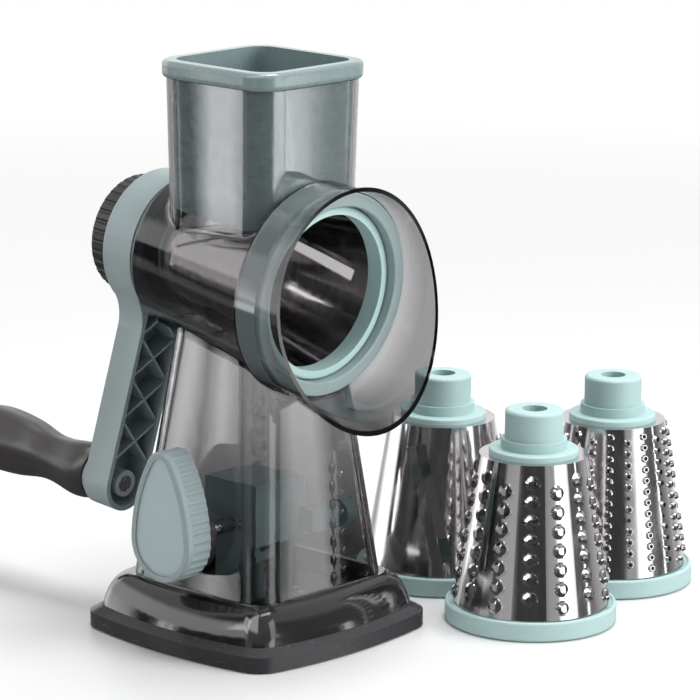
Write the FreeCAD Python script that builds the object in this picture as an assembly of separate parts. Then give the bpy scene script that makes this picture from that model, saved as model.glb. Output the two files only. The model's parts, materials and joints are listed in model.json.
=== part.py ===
import FreeCAD, Part
import math
import os

# Rotary cabbage shredder with a suction foot, a crank, a food pusher and four drums.
# Millimetres, +Z up. The origin is the centre of the foot on the table; the mouth of
# the barrel faces -Y, the crank is on the +Y side and the suction knob on the -X side.

V = FreeCAD.Vector

# ---- Foot ----
foot_side = 130.0            # across the middle of two opposite sides
foot_corner_inset = 7.0      # the sides bow out this far beyond the corners
foot_corner_radius = 15.0
foot_lift = 0.4              # the skirt hangs clear of the table, the pad carries the load
skirt_height = 7.5
ledge_rise = 3.0
ledge_width = 4.7
skirt_shelf_height = 3.0
skirt_shelf_width = 3.3
dome_height = 26.5           # from the table to the foot of the column
dome_wall = 2.4
dome_margin = 2.0            # the dome's flat top reaches this far beyond the column
dome_crown_inset = 1.5
dome_belly_rise = 8.0        # above the ledge: where the dome starts to close in
dome_belly_setback = 3.0
dome_belly_inset = 5.6
dome_shoulder_rise = 13.9
dome_shoulder_setback = 8.0
dome_shoulder_inset = 3.5
seat_gap = 0.2               # loose seat between two mouldings
base_plate_bottom = 7.4
base_plate_thickness = 3.0
pad_radius = 52.0
pad_crown_radius = 44.0
pad_lip = 3.0                # width of the flat sealing edge
pad_lip_height = 1.2
pad_hollow = 1.0             # depth of the shallow ring inside the sealing edge
pad_hollow_slope = 5.0
pad_land_radius = 16.0       # the flat middle, under the stem
pad_relief_depth = 4.2       # groove in the pad's upper side, so that its middle can rise
pad_relief_inset = 3.0
pad_relief_margin = 4.0
pad_boss_radius = 10.0
pad_boss_height = 14.0
plate_hole_clearance = 0.4

# ---- Column ----
column_foot_side = 90.6
column_top_side = 60.0
column_top_height = 156.0    # inside the barrel, where the four walls end
column_corner_radius = 14.0
column_wall = 2.4

# ---- Barrel, along its own axis ----
axis_height = 171.7          # above the table, over the centre of the foot
barrel_tilt = 5.0            # degrees, the mouth points down
barrel_wall = 2.0
barrel_rear_station = -50.5  # stations grow towards the mouth
barrel_shoulder_station = -46.0
barrel_neck_radius = 34.5
barrel_shoulder_radius = 37.6
barrel_throat_station = 30.0
barrel_throat_radius = 45.2
barrel_throat_drop = 2.6     # the cone sinks towards the mouth
barrel_ring_station = 33.3
barrel_ring_length = 14.9
barrel_ring_wall = 2.2
hood_station = 46.0
hood_end_station = 88.0
hood_end_radius = 59.0
hood_top_station = 57.5      # the rim's place above the axis, beside it and below it
hood_top_rise = 53.5
hood_middle_station = 65.0
hood_middle_drop = 6.0
hood_bottom_station = 84.0
hood_bottom_drop = 60.0
rear_wall_thickness = 3.0

# ---- Mouth collar and rear bush ----
collar_radius = 48.2
collar_bore_radius = 41.6
collar_seat_gap = 0.1
collar_edge_round = 0.9
bush_radius = 24.0
bush_flange_radius = 27.0
bush_flange_thickness = 1.8
journal_radius = 20.0
journal_gap = 0.06           # running fit of the crank socket in its bush

# ---- Feed chute and pusher ----
chute_top_side = 71.6
chute_draft = 1.1            # degrees
chute_wall = 2.1
chute_corner_radius = 14.0
chute_offset = -2.0          # towards the mouth
chute_foot_fillet = 5.0
chute_top_height = 263.6
pusher_gap = 0.5
pusher_wall = 2.2
pusher_rim_height = 8.4
pusher_rim_overhang = 1.4
pusher_rim_round = 2.4
pusher_drum_radius = 42.9    # the underside follows a cylinder about the barrel's axis

# ---- Drums ----
drum_rim_radius = 41.2
drum_rim_height = 9.3
drum_rim_wall = 3.4
drum_steel_bottom = 7.3
drum_large_radius = 38.0
drum_small_radius = 26.0
drum_sheet = 0.8
drum_flange_radius = 21.4
drum_flange_thickness = 3.0
drum_step_radius = 15.8
drum_step_length = 4.5
drum_hub_radius = 14.0
drum_hub_length = 14.2
drum_tail_gap = 0.4          # between the drum's step and the crank's socket
drum_cap_thickness = 1.2     # steel lip turned in over the hub's flange
drum_cap_width = 3.0
drum_rim_lip = 0.8           # the rim's bore stands in from the steel by this much
drum_rim_round = 1.2
drum_rim_step_width = 1.6
drum_rim_step = 0.6
drum_hub_round = 1.6
drum_flange_round = 1.0
drum_bore_margin = 2.0       # room beyond the stud's tip
drum_mouth_station = 44.0    # where the rim of the fitted drum ends

coarse_columns = 14
coarse_pitch = 9.0
coarse_low_margin = 7.5      # from the steel's wide end to the first tooth
coarse_high_margin = 8.0     # from the last tooth to the steel's small end, at least
coarse_tooth_radius = 4.0    # at the tooth's foot
coarse_tooth_sink = 0.4      # its foot lies this deep in the sheet
coarse_shoulder_radius = 3.2
coarse_crown_radius = 1.7
coarse_shoulder_height = 1.1
coarse_tooth_height = 2.0
coarse_tooth_sheet = 0.5
coarse_mouth_start = 0.9     # from the tooth's middle to its cut face
coarse_mouth_lip = 0.2       # height of the low lip left round the mouth
fine_columns = 20
fine_pitch = 5.35
fine_low_margin = 6.3
fine_high_margin = 3.6
fine_tooth_radius = 2.3
fine_tooth_height = 1.4
fine_hole_radius = 1.05
fine_tooth_wall = 0.35       # at the tooth's tip
slot_count = 3
slot_width = 9.0
slot_slant = 16.0            # degrees
slot_end_margin = 8.0        # from a slot's ends to the steel's ends
blade_lift = 1.0
blade_sheet = 0.7
blade_width = 4.5            # how far a blade stands over its slot
fitted_drum_turn = 46.0      # degrees, about the barrel's axis

# Spare drums, standing on the table beside the foot: x, y and turn in degrees
spare_places = {
    "slicing_drum": (124.3, -7.0, 91.0),
    "coarse_drum": (99.5, -86.6, 0.0),
    "fine_drum": (181.0, -69.0, 10.0),
}

# ---- Crank ----
head_gap = 0.3               # between the barrel's rear and the crank head
head_radius = 34.6
head_thickness = 19.4
head_edge_round = 2.0
head_recess_radius = 29.0
head_recess_depth = 3.0
arm_length = 117.5
arm_lean = 12.8              # degrees from straight down, towards the knob
arm_width = 26.5
arm_depth = 15.8
arm_front_setback = 1.4
arm_neck_fillet = 22.0
arm_wall = 2.4
arm_pocket_depth = 12.5
arm_pocket_margin = 1.0      # between the head's edge and the pocket's corners
truss_rib = 1.2
truss_drop = 0.8             # the ribs stay this far below the arm's edge
truss_bay = 20.5
truss_bays = 4
grip_boss_radius = 10.8
grip_boss_height = 4.0
socket_bore_gap = 0.15

# ---- Lock nut ----
nut_radius = 28.6
nut_thickness = 13.5
nut_ribs = 36
nut_rib_radius = 1.3
nut_rib_inset = -0.3         # the grooves' centres lie this far inside the nut's edge
nut_gap = 0.3
nut_boss_radius = 24.0       # the boss that enters the recess in the crank head
nut_dish_radius = 19.0
nut_dish_depth = 2.5
nut_edge_round = 1.6
stud_radius = 6.0
stud_gap = 0.1
stud_reach = 14.0            # into the drum's hub
stud_head_thickness = 3.0

# ---- Grip ----
grip_length = 82.0
grip_start_radius = 13.2
grip_waist_radius = 12.6
grip_swell_radius = 16.2
grip_end_radius = 14.0
grip_edge_round = 1.2
grip_collar_place = 2.5      # stations of the grip's outline, from the arm
grip_waist_place = 18.0
grip_middle_place = 45.0
grip_swell_place = 65.5
grip_end_place = 78.0
grip_end_setback = 3.0
grip_waist_facet = 0.06      # how much flatter than a circle its six sides are
grip_collar_facet = 0.02
grip_gap = 0.3
spindle_radius = 4.0
spindle_seat = 1.0           # the spindle's end lies this far inside the arm's open side
spindle_gap = 0.06
spindle_head_radius = 6.5
spindle_head_thickness = 3.0
grip_cap_thickness = 5.0
grip_cap_radius = 9.0
grip_cap_crown = 0.6         # the cap stands out of the grip's end by this much

# ---- Suction knob, cam and bracket ----
shaft_height = 53.0
shaft_radius = 4.0
shaft_gap = 0.06
knob_rear = 50.0             # from the centre of the column to the knob's inner face
knob_thickness = 15.4
knob_height = 62.3
knob_width = 38.2
knob_tip_radius = 8.5
knob_side_radius = 78.0
knob_rim_width = 3.2
knob_recess = 1.0
knob_face_sheet = 2.0
knob_flute_radius = 2.4
knob_flute_pitch = 4.6
knob_flute_depth = 0.9
knob_flute_margin = 3.4      # from the knob's front edge to the flutes
knob_edge_round = 1.2
knob_shaft_depth = 10.0
collar_flange_radius = 17.0
collar_spigot_radius = 8.0
collar_spigot_margin = 1.3   # the spigot reaches this far inside the wall
collar_gap = 0.3
bracket_left = -18.0
bracket_right = 14.0
bracket_depth = 32.0
bracket_bottom = 44.0
bracket_top = 74.0
bracket_wall = 3.0
bracket_leg_depth = 18.0
bracket_foot_length = 9.0
bracket_screw_margin = 0.5
bracket_arm_offset = -22.0
bracket_arm_height = 11.0
bracket_arm_depth = 5.0
bracket_wall_gap = 1.2       # between the arm's boss and the column's wall
bracket_end_margin = 1.0     # the cam shaft ends this far inside the bracket's wall
wall_boss_radius = 7.0
wall_boss_length = 8.0
wall_screw_depth = 7.5       # into the boss
screw_radius = 1.5
screw_head_radius = 3.2
screw_head_height = 2.0
screw_head_gap = 0.05        # under the edge of a head that stands on the sloping wall
cam_radius = 8.0
cam_rise = 3.0               # lift of the stem for the knob's full quarter turn
cam_turn = 90.0              # degrees
cam_margin = 20.0            # degrees of spiral beyond each end of the turn
cam_thickness = 8.0
follower_radius = 2.5
follower_gap = 0.35
stem_tine_thickness = 4.0
stem_tine_width = 13.0
stem_side_gap = 0.5
stem_rod_radius = 4.5
stem_foot_radius = 6.5
stem_foot_height = 3.0
stem_foot_bottom = 3.4
stem_slot_gap = 0.4
stem_yoke_gap = 4.0          # below the cam at its highest lift
stem_yoke_thickness = 5.0
stem_ear = 1.0                # the fork reaches this far beyond its pin

# ---- Fasteners of the foot ----
foot_screw_place = 44.0      # from the centre, along both sides
foot_post_radius = 4.5
foot_screw_depth = 6.0       # into the post

# ---- Derived places ----
tiny = 0.01                  # tolerance for picking edges
foot_half = foot_side / 2
ledge_height = skirt_height + ledge_rise
dome_half = foot_half - ledge_width
plate_top = base_plate_bottom + base_plate_thickness
tilt = math.radians(barrel_tilt)
axis_origin = V(0, 0, axis_height)
axis_to_mouth = V(0, -math.cos(tilt), -math.sin(tilt))
ring_radius = collar_radius + collar_seat_gap + barrel_ring_wall
rear_face_station = barrel_rear_station - head_gap
wall_front_station = barrel_rear_station + rear_wall_thickness
socket_front_station = wall_front_station + bush_flange_thickness
drum_steel_length = (drum_mouth_station - socket_front_station - drum_tail_gap
                     - drum_step_length - drum_flange_thickness - drum_steel_bottom)
drum_steel_top = drum_steel_bottom + drum_steel_length
drum_length = drum_steel_top + drum_flange_thickness + drum_step_length + drum_hub_length
drum_slope = math.atan((drum_large_radius - drum_small_radius) / drum_steel_length)
slot_length = drum_steel_length - 2 * slot_end_margin
column_flare = (column_foot_side - column_top_side) / 2 / (column_top_height - dome_height)


# ---- Frames ----
def on_axis(shape, station=0.0, turn=0.0):
    """Places a shape made about +Z on the barrel's axis, its +Z towards the mouth."""
    spin = FreeCAD.Rotation(V(0, 0, 1), turn)
    lean = FreeCAD.Rotation(V(1, 0, 0), 90 + barrel_tilt)
    origin = axis_origin + axis_to_mouth * station
    placed = shape.copy()
    placed.Placement = FreeCAD.Placement(origin, lean.multiply(spin)).multiply(shape.Placement)
    return placed


def behind_axis(shape, station, turn=0.0):
    """Places a shape made about +Z on the barrel's axis, +Z towards the crank and -Y down."""
    spin = FreeCAD.Rotation(V(0, 0, 1), 180 + turn)
    lean = FreeCAD.Rotation(V(1, 0, 0), barrel_tilt - 90)
    origin = axis_origin + axis_to_mouth * station
    placed = shape.copy()
    placed.Placement = FreeCAD.Placement(origin, lean.multiply(spin)).multiply(shape.Placement)
    return placed


def station_of(point):
    return (point - axis_origin).dot(axis_to_mouth)


def column_half(height):
    """Half the column's outer side at a height."""
    return column_foot_side / 2 - column_flare * (height - dome_height)


def chute_half(height):
    """Half the chute's outer side at a height."""
    return chute_top_side / 2 - math.tan(math.radians(chute_draft)) * (chute_top_height - height)


# ---- Outlines ----
def arc(start, middle, end):
    return Part.Arc(start, middle, end).toShape()


def square_wire(half, corner_radius, height, inset=0.5, offset_y=0.0):
    """A square with bowed sides and round corners: eight tangent arcs."""
    corner = half - inset
    bow = (corner ** 2 + inset ** 2) / (2 * inset)
    side_centre = half - bow
    reach = bow - corner_radius
    corner_centre = (side_centre + math.sqrt(2 * reach ** 2 - side_centre ** 2)) / 2
    tangent_angle = math.atan2(corner_centre, corner_centre - side_centre)
    near = bow * math.sin(tangent_angle)
    far = side_centre + bow * math.cos(tangent_angle)
    tip = corner_centre + corner_radius * math.sqrt(0.5)
    edges = []
    for quarter in range(4):
        turn = FreeCAD.Rotation(V(0, 0, 1), 90 * quarter)
        move = V(0, offset_y, height)
        points = [V(far, -near, 0), V(half, 0, 0), V(far, near, 0), V(tip, tip, 0), V(near, far, 0)]
        a, b, c, d, e = [turn.multVec(point) + move for point in points]
        edges.append(arc(a, b, c))
        edges.append(arc(c, d, e))
    return Part.Wire(edges)


def square_loft(sections, inset=0.5, offset_y=0.0, ruled=True):
    """A solid through (height, half side, corner radius) sections."""
    wires = [square_wire(half, radius, height, inset, offset_y) for height, half, radius in sections]
    return Part.makeLoft(wires, True, ruled)


def circle_wire(radius, station, drop=0.0):
    circle = Part.Circle(V(0, -drop, station), V(0, 0, 1), radius)
    return Part.Wire([circle.toShape()])


def cone(radius_a, radius_b, start, length):
    if radius_a == radius_b:
        return Part.makeCylinder(radius_a, length, V(0, 0, start))
    return Part.makeCone(radius_a, radius_b, length, V(0, 0, start))


def ring(outer, inner, start, length):
    """A round tube from one station or height on."""
    return Part.makeCylinder(outer, length, V(0, 0, start)).cut(
        Part.makeCylinder(inner, length, V(0, 0, start)))


def along_x(radius, start, length, y, z):
    return Part.makeCylinder(radius, length, V(start, y, z), V(1, 0, 0))


def block(x_low, x_high, y_low, y_high, z_low, z_high):
    return Part.makeBox(x_high - x_low, y_high - y_low, z_high - z_low, V(x_low, y_low, z_low))


def round_edges(shape, radius, keep):
    """Rounds the edges for which keep(edge) is true."""
    return shape.makeFillet(radius, [edge for edge in shape.Edges if keep(edge)])


# ---- Foot ----
def base_skirt():
    wall = square_loft([
        (foot_lift, foot_half, foot_corner_radius),
        (skirt_height, foot_half, foot_corner_radius)], foot_corner_inset)
    ledge = square_loft([
        (skirt_height, foot_half, foot_corner_radius),
        (ledge_height, dome_half + seat_gap, foot_corner_radius - ledge_width / 2)], foot_corner_inset)
    seat = square_loft([
        (skirt_shelf_height, dome_half + seat_gap, foot_corner_radius - ledge_width / 2),
        (ledge_height, dome_half + seat_gap, foot_corner_radius - ledge_width / 2)], foot_corner_inset)
    shelf_half = dome_half - skirt_shelf_width
    hole = square_loft([
        (0, shelf_half, foot_corner_radius - ledge_width),
        (ledge_height, shelf_half, foot_corner_radius - ledge_width)], foot_corner_inset)
    return wall.fuse(ledge).removeSplitter().cut(seat).cut(hole)


def dome_skin(inset_by):
    """The dome's form, shrunk by a wall thickness."""
    radius = foot_corner_radius - ledge_width / 2 - inset_by / 2
    shoulder = dome_half - inset_by
    crown = column_half(dome_height) + dome_margin
    top = dome_height - inset_by
    squeeze = (top - ledge_height) / (dome_height - ledge_height)
    belly = ledge_height + dome_belly_rise * squeeze
    brow = ledge_height + dome_shoulder_rise * squeeze
    wires = [
        square_wire(shoulder, radius, ledge_height, foot_corner_inset),
        square_wire(shoulder - dome_belly_setback, radius, belly, dome_belly_inset),
        square_wire(shoulder - dome_shoulder_setback, radius, brow, dome_shoulder_inset),
        square_wire(crown, radius, top, dome_crown_inset)]
    return Part.makeLoft(wires, True, False)


def base_cover():
    """The dark dome on which the column stands, with its four screw posts."""
    radius = foot_corner_radius - ledge_width / 2
    lower = square_loft([
        (skirt_shelf_height, dome_half, radius),
        (ledge_height, dome_half, radius)], foot_corner_inset)
    lower_hollow = square_loft([
        (skirt_shelf_height, dome_half - dome_wall, radius - dome_wall / 2),
        (ledge_height, dome_half - dome_wall, radius - dome_wall / 2)], foot_corner_inset)
    shell = lower.fuse(dome_skin(0.0))
    hollow = lower_hollow.fuse(dome_skin(dome_wall))
    half = column_half(dome_height) - column_wall
    opening = square_loft([
        (plate_top, half, column_corner_radius - column_wall),
        (dome_height + 1, half, column_corner_radius - column_wall)])
    shell = shell.cut(hollow).cut(opening)
    for x, y in corners(foot_screw_place):
        post = Part.makeCylinder(foot_post_radius, dome_height, V(x, y, plate_top))
        shell = shell.fuse(post.common(hollow))
        shell = shell.cut(Part.makeCylinder(screw_radius, foot_screw_depth, V(x, y, plate_top)))
    return shell.removeSplitter()


def corners(distance):
    return [(sx * distance, sy * distance) for sx in (-1, 1) for sy in (-1, 1)]


def screw(x, y, z_head_top, length):
    """A pan-head screw that points up, its head at the bottom."""
    head = Part.makeCylinder(screw_head_radius, screw_head_height, V(x, y, z_head_top - screw_head_height))
    shank = Part.makeCylinder(screw_radius, length, V(x, y, z_head_top))
    return head.fuse(shank)


def base_plate():
    half = dome_half - dome_wall - seat_gap
    radius = foot_corner_radius - ledge_width
    plate = square_loft([
        (base_plate_bottom, half, radius),
        (plate_top, half, radius)], foot_corner_inset)
    hole = Part.makeCylinder(pad_boss_radius + plate_hole_clearance, plate_top, V(0, 0, 0))
    plate = plate.cut(hole)
    for x, y in corners(foot_screw_place) + bracket_screw_places():
        plate = plate.cut(Part.makeCylinder(screw_radius, plate_top, V(x, y, 0)))
    return plate


def base_screws():
    return Part.makeCompound([
        screw(x, y, base_plate_bottom, base_plate_thickness + foot_screw_depth)
        for x, y in corners(foot_screw_place)])


def suction_pad():
    """A dished rubber disc with a socketed boss that the lifting stem is moulded into."""
    seal = pad_radius - pad_lip
    profile = Part.makePolygon([
        V(0, 0, 0), V(pad_land_radius, 0, 0), V(pad_land_radius + pad_hollow, 0, pad_hollow),
        V(seal - pad_hollow_slope, 0, pad_hollow), V(seal, 0, 0), V(pad_radius, 0, 0),
        V(pad_radius, 0, pad_lip_height), V(pad_crown_radius, 0, base_plate_bottom),
        V(pad_boss_radius, 0, base_plate_bottom), V(pad_boss_radius, 0, pad_boss_height),
        V(0, 0, pad_boss_height), V(0, 0, 0)])
    disc = Part.Face(profile).revolve(V(0, 0, 0), V(0, 0, 1), 360)
    room = stem_foot_height + cam_rise + stem_side_gap
    socket = Part.makeCylinder(stem_foot_radius + seat_gap, room, V(0, 0, stem_foot_bottom - seat_gap))
    throat = Part.makeCylinder(stem_rod_radius + seat_gap, pad_boss_height, V(0, 0, stem_foot_bottom))
    relief = ring(pad_crown_radius - pad_relief_inset, pad_boss_radius + pad_relief_margin,
                  base_plate_bottom - pad_relief_depth, pad_relief_depth)
    return disc.cut(socket).cut(throat).cut(relief)


# ---- Clear body ----
def barrel_cone(inset_by):
    """The oblique cone of the barrel from its shoulder to its throat."""
    wires = [
        circle_wire(barrel_shoulder_radius - inset_by, barrel_shoulder_station),
        circle_wire(barrel_throat_radius - inset_by, barrel_throat_station, barrel_throat_drop)]
    return Part.makeLoft(wires, True, True)


def barrel_step(inset_by):
    """The short flare from the throat to the ring that holds the mouth collar."""
    wires = [
        circle_wire(barrel_throat_radius - inset_by, barrel_throat_station, barrel_throat_drop),
        circle_wire(ring_radius - inset_by, barrel_ring_station)]
    return Part.makeLoft(wires, True, True)


def hood(inset_by):
    """The conical hood round the mouth, before its rim is cut."""
    return cone(ring_radius - inset_by, hood_end_radius - inset_by, hood_station,
                hood_end_station - hood_station)


def hood_rim_cutter():
    """A wide cylinder across the barrel, which leaves the hood short at the top and long below."""
    rim = arc(V(0, hood_top_rise, hood_top_station),
              V(0, -hood_middle_drop, hood_middle_station),
              V(0, -hood_bottom_drop, hood_bottom_station)).Curve
    wide = 2 * hood_end_radius
    return Part.makeCylinder(rim.Radius, 2 * wide, V(-wide, rim.Center.y, rim.Center.z), V(1, 0, 0))


def clear_body():
    """Column, barrel, feed chute and hood: one smoked clear moulding."""
    shoulder = cone(barrel_neck_radius, barrel_shoulder_radius, barrel_rear_station,
                    barrel_shoulder_station - barrel_rear_station)
    ring_solid = cone(ring_radius, ring_radius, barrel_ring_station, hood_station - barrel_ring_station)
    barrel = shoulder
    for piece in (barrel_cone(0), barrel_step(0), ring_solid, hood(0).cut(hood_rim_cutter())):
        barrel = barrel.fuse(piece)
    wall = barrel_wall
    bore = cone(barrel_shoulder_radius - wall, barrel_shoulder_radius - wall, wall_front_station,
                barrel_shoulder_station - wall_front_station)
    pocket = cone(ring_radius - barrel_ring_wall, ring_radius - barrel_ring_wall,
                  barrel_ring_station, barrel_ring_length)
    for piece in (barrel_cone(wall), barrel_step(wall), pocket, hood(wall)):
        bore = bore.fuse(piece)
    bush_hole = cone(bush_radius, bush_radius, barrel_rear_station, rear_wall_thickness)
    bore = bore.fuse(bush_hole)

    column = square_loft([
        (dome_height, column_foot_side / 2, column_corner_radius),
        (column_top_height, column_top_side / 2, column_corner_radius)])
    column_hollow = square_loft([
        (dome_height, column_foot_side / 2 - column_wall, column_corner_radius - column_wall),
        (column_top_height, column_top_side / 2 - column_wall, column_corner_radius - column_wall)])
    chute = square_loft([
        (axis_height, chute_half(axis_height), chute_corner_radius),
        (chute_top_height, chute_half(chute_top_height), chute_corner_radius)],
        offset_y=chute_offset)
    chute_hollow = square_loft([
        (axis_height, chute_half(axis_height) - chute_wall, chute_corner_radius - chute_wall),
        (chute_top_height, chute_half(chute_top_height) - chute_wall, chute_corner_radius - chute_wall)],
        offset_y=chute_offset)
    junction_top = (axis_height + chute_top_height) / 2

    def is_chute_foot(edge):
        on_cone = all(station_of(vertex.Point) < barrel_throat_station + tiny for vertex in edge.Vertexes)
        return on_cone and edge.Curve.TypeId == "Part::GeomBSplineCurve" and edge.BoundBox.ZMax < junction_top

    upper = round_edges(on_axis(barrel).fuse(chute), chute_foot_fillet, is_chute_foot)
    body = column.cut(column_hollow).fuse(upper)
    body = body.cut(on_axis(bore)).cut(chute_hollow)
    shaft_hole = along_x(collar_spigot_radius, -column_foot_side, column_foot_side, 0, shaft_height)
    screw_hole = along_x(screw_radius, 0, column_foot_side, bracket_arm_offset, shaft_height)
    return body.cut(shaft_hole).cut(screw_hole).removeSplitter()


def mouth_collar():
    """The fixed ring in the mouth, in which the drum's rim turns."""
    body = ring(collar_radius, collar_bore_radius, barrel_ring_station, barrel_ring_length)
    front = barrel_ring_station + barrel_ring_length
    body = round_edges(body, collar_edge_round, lambda edge: abs(edge.CenterOfMass.z - front) < tiny)
    return on_axis(body)


def rear_bush():
    """The black ring in the barrel's rear wall, in which the crank socket turns."""
    bore = journal_radius + journal_gap
    sleeve = ring(bush_radius, bore, barrel_rear_station, rear_wall_thickness)
    flange = ring(bush_flange_radius, bore, wall_front_station, bush_flange_thickness)
    return on_axis(sleeve.fuse(flange))


# ---- Pusher ----
def pusher():
    bottom = axis_height
    top = chute_top_height + pusher_rim_height
    skin = chute_wall + pusher_gap
    corner = chute_corner_radius - skin
    outer = square_loft([
        (bottom, chute_half(bottom) - skin, corner),
        (chute_top_height, chute_half(chute_top_height) - skin, corner)], offset_y=chute_offset)
    rim_half = chute_top_side / 2 + pusher_rim_overhang
    rim = square_loft([
        (chute_top_height, rim_half, chute_corner_radius),
        (top, rim_half, chute_corner_radius)], offset_y=chute_offset)
    rim = round_edges(rim, pusher_rim_round, lambda edge: edge.BoundBox.ZLength < 0.01)
    cavity = square_loft([
        (bottom, chute_half(bottom) - skin - pusher_wall, corner - pusher_wall),
        (top, chute_half(top) - skin - pusher_wall, corner - pusher_wall)], offset_y=chute_offset)
    reach = chute_top_side
    saddle = on_axis(cone(pusher_drum_radius, pusher_drum_radius, -reach, 2 * reach))
    floor_radius = pusher_drum_radius + pusher_wall
    floor = on_axis(cone(floor_radius, floor_radius, -reach, 2 * reach))
    return outer.fuse(rim).cut(cavity.cut(floor)).cut(saddle).removeSplitter()


# ---- Drums: made standing on their rim, hub up ----
def steel_radius(height):
    """Outer radius of the steel cone at a height above the rim's edge."""
    share = (height - drum_steel_bottom) / drum_steel_length
    return drum_large_radius + (drum_small_radius - drum_large_radius) * share


def steel_solid(grow):
    return Part.makeCone(drum_large_radius + grow, drum_small_radius + grow,
                         drum_steel_length, V(0, 0, drum_steel_bottom))


def steel_cap():
    """The lip at the small end, turned in over the hub's flange."""
    return ring(drum_small_radius - drum_sheet / 2, drum_flange_radius - drum_cap_width,
                drum_steel_top - drum_cap_thickness, drum_cap_thickness)


def plain_shell():
    return steel_solid(0).cut(steel_solid(-drum_sheet)).fuse(steel_cap()).removeSplitter()


def wedge(angle):
    """A slice of the steel cone and its cap, centred on +X."""
    base = drum_large_radius * 2
    side = math.radians(angle / 2)
    corner_a = V(base, -base * math.tan(side), 0)
    corner_b = V(base, base * math.tan(side), 0)
    outline = Part.makePolygon([V(0, 0, 0), corner_a, corner_b, V(0, 0, 0)])
    prism = Part.Face(outline).extrude(V(0, 0, drum_length))
    return plain_shell().common(prism)


def all_round(slice_solid, angle):
    """Sews a slice's own faces into a full drum, with no copies of its two cut sides."""
    side = math.radians(angle / 2)
    normals = (V(-math.sin(side), math.cos(side), 0), V(math.sin(side), math.cos(side), 0))

    def is_cut_side(face):
        centre = face.CenterOfMass
        return any(abs(centre.dot(normal)) < 1e-4 and face.Surface.TypeId == "Part::GeomPlane"
                   for normal in normals)

    faces = [face for face in slice_solid.Faces if not is_cut_side(face)]
    copies = []
    for index in range(round(360 / angle)):
        turn = FreeCAD.Placement(V(0, 0, 0), FreeCAD.Rotation(V(0, 0, 1), angle * index))
        for face in faces:
            copy = face.copy()
            copy.Placement = turn.multiply(copy.Placement)
            copies.append(copy)
    shell = Part.makeShell(copies)
    shell.sewShape()
    solid = Part.makeSolid(shell)
    if solid.Volume < 0:
        solid.reverse()
    return solid


def on_steel(height, angle):
    """A frame on the steel's outer side: +Z outward, +Y up the cone, +X round the drum."""
    radius = steel_radius(height)
    turn = math.radians(angle)
    outward = V(math.cos(turn), math.sin(turn), 0)
    normal = outward * math.cos(drum_slope) + V(0, 0, math.sin(drum_slope))
    around = V(-math.sin(turn), math.cos(turn), 0)
    rotation = FreeCAD.Rotation(around, normal.cross(around), normal, "ZXY")
    return FreeCAD.Placement(outward * radius + V(0, 0, height), rotation)


def in_columns(shape, angle, pitch, low_margin, high_margin):
    """Copies of a tooth in two columns of a slice, the second half a pitch higher."""
    room = drum_steel_length - low_margin - high_margin
    copies = []
    for column_angle, shift in ((-angle / 4, 0.0), (angle / 4, pitch / 2)):
        for index in range(1 + int((room - shift) / pitch)):
            copy = shape.copy()
            copy.Placement = on_steel(drum_steel_bottom + low_margin + shift + index * pitch, column_angle)
            copies.append(copy)
    return Part.makeCompound(copies)


def coarse_tooth(shrink, depth):
    """A low dome of two frustums, from a depth below the sheet's outer side to its crown."""
    shoulder = coarse_shoulder_height - shrink
    foot = V(0, 0, -coarse_tooth_sink)
    low = Part.makeCylinder(coarse_tooth_radius - shrink, depth - coarse_tooth_sink, V(0, 0, -depth))
    side = Part.makeCone(coarse_tooth_radius - shrink, coarse_shoulder_radius - shrink,
                         shoulder + coarse_tooth_sink, foot)
    top = Part.makeCone(coarse_shoulder_radius - shrink, coarse_crown_radius - shrink,
                        coarse_tooth_height - coarse_shoulder_height, V(0, 0, shoulder))
    return low.fuse(side).fuse(top)


def coarse_shell():
    """Hooded round teeth, each open on one side over its hole."""
    angle = 2 * 360.0 / coarse_columns
    layout = (angle, coarse_pitch, coarse_low_margin, coarse_high_margin)
    hoods = in_columns(coarse_tooth(0.0, drum_sheet), *layout)
    rooms = in_columns(coarse_tooth(coarse_tooth_sheet, 2 * drum_sheet), *layout)
    half = coarse_tooth_radius + tiny
    mouth = block(coarse_mouth_start, half, -half, half, -coarse_tooth_height, 2 * coarse_tooth_height)
    mouths = in_columns(mouth, *layout).cut(steel_solid(coarse_mouth_lip))
    piece = wedge(angle).fuse(hoods.cut(steel_solid(-drum_sheet)))
    return all_round(piece.cut(rooms).cut(mouths), angle)


def fine_shell():
    """Small pierced cones."""
    angle = 2 * 360.0 / fine_columns
    layout = (angle, fine_pitch, fine_low_margin, fine_high_margin)
    tooth = Part.makeCone(fine_tooth_radius, fine_hole_radius + fine_tooth_wall,
                          fine_tooth_height + drum_sheet, V(0, 0, -drum_sheet))
    hole = Part.makeCylinder(fine_hole_radius, 4 * fine_tooth_height, V(0, 0, -2 * fine_tooth_height))
    teeth = in_columns(tooth, *layout).cut(steel_solid(-drum_sheet / 2))
    return all_round(wedge(angle).fuse(teeth).cut(in_columns(hole, *layout)), angle)


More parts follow.
